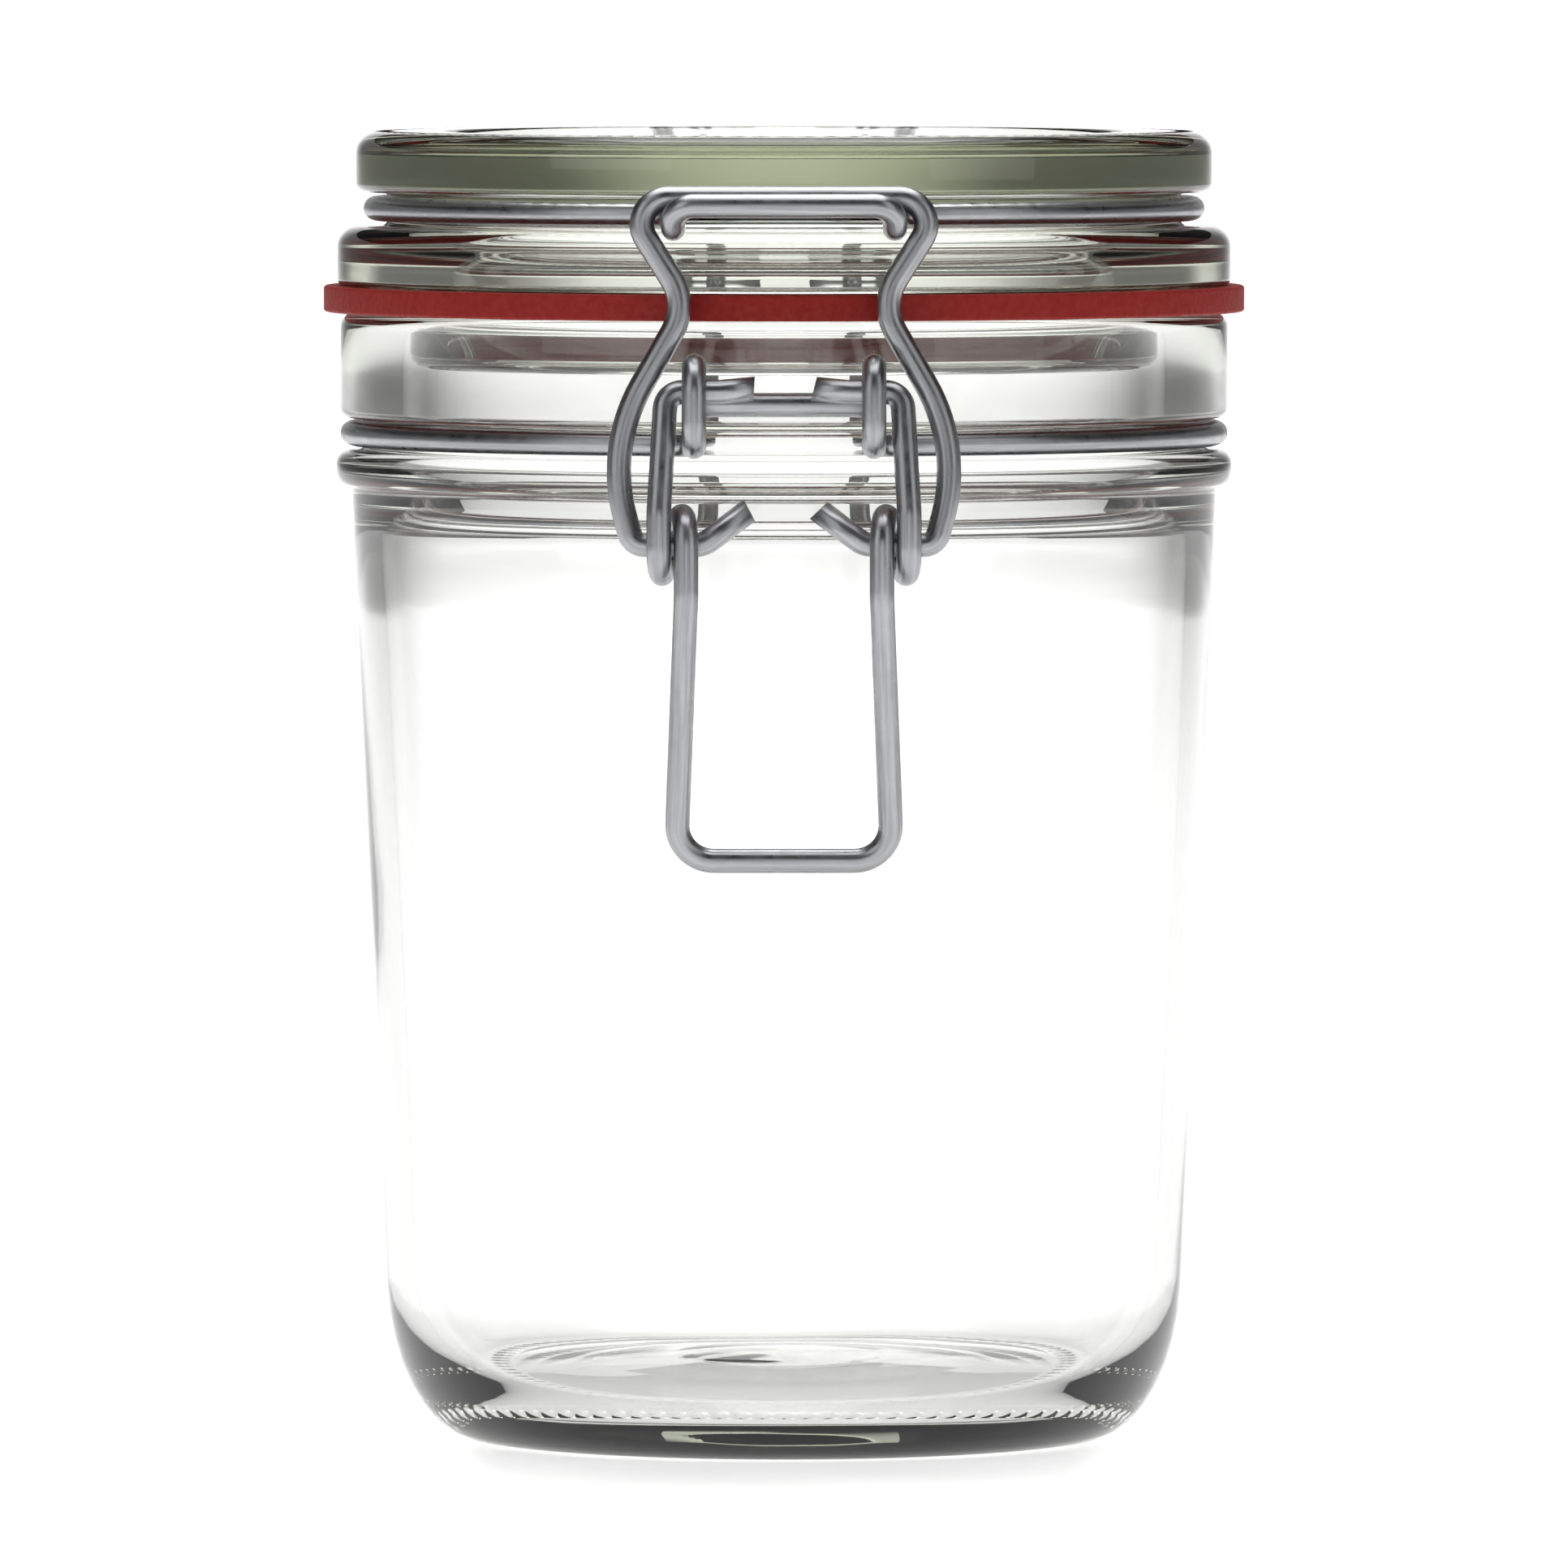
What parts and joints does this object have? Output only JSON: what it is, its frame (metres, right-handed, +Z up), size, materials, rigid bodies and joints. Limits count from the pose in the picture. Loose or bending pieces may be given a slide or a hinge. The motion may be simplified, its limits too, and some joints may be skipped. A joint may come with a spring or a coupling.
{
  "type": "bail clamp jar",
  "caption": "Tapered glass preserving jar with a glass lid, rubber gasket and wire clamp: a hinged lid wire, a hooked bail and a lever handle.",
  "frame": {"origin": "centre of the base, on the surface the jar stands on, on the jar's axis", "axes": "+Z up along the jar's axis, -Y towards the clamp at the front, +Y towards the hinge at the back, +X to the right"},
  "size_m": [0.108, 0.1246, 0.1534],
  "materials": {
    "glass": "polished clear soda-lime glass, pale green where it is thick",
    "rubber": "matte red rubber with a fine speckle",
    "wire": "satin drawn wire, zinc plated"
  },
  "bodies": {
    "jar": {"glass_jar": "glass", "neck_wire": "wire"},
    "lid": {"glass_lid": "glass", "lid_wire": "wire", "rubber_gasket": "rubber"},
    "lever": {"lever_wire": "wire"},
    "bail": {"bail_wire": "wire"}
  },
  "joints": [
    {"name": "lid_hinge", "type": "hinge", "parent": "jar", "child": "lid", "pos_m": [0, 0.0579, 0.1385], "axis": [-1, 0, 0], "range_deg": [0, 170]},
    {"name": "lever_pivot", "type": "hinge", "parent": "jar", "child": "lever", "pos_m": [0, -0.0576, 0.1243], "axis": [-1, 0, 0], "range_deg": [0, 120]},
    {"name": "bail_pivot", "type": "hinge", "parent": "lever", "child": "bail", "pos_m": [0, -0.0576, 0.1068], "axis": [-1, 0, 0], "range_deg": [-175.2, 0]}
  ],
  "couplings": [
    {"joint": "bail_pivot", "follows": "lever_pivot", "ratio": -1.46}
  ]
}
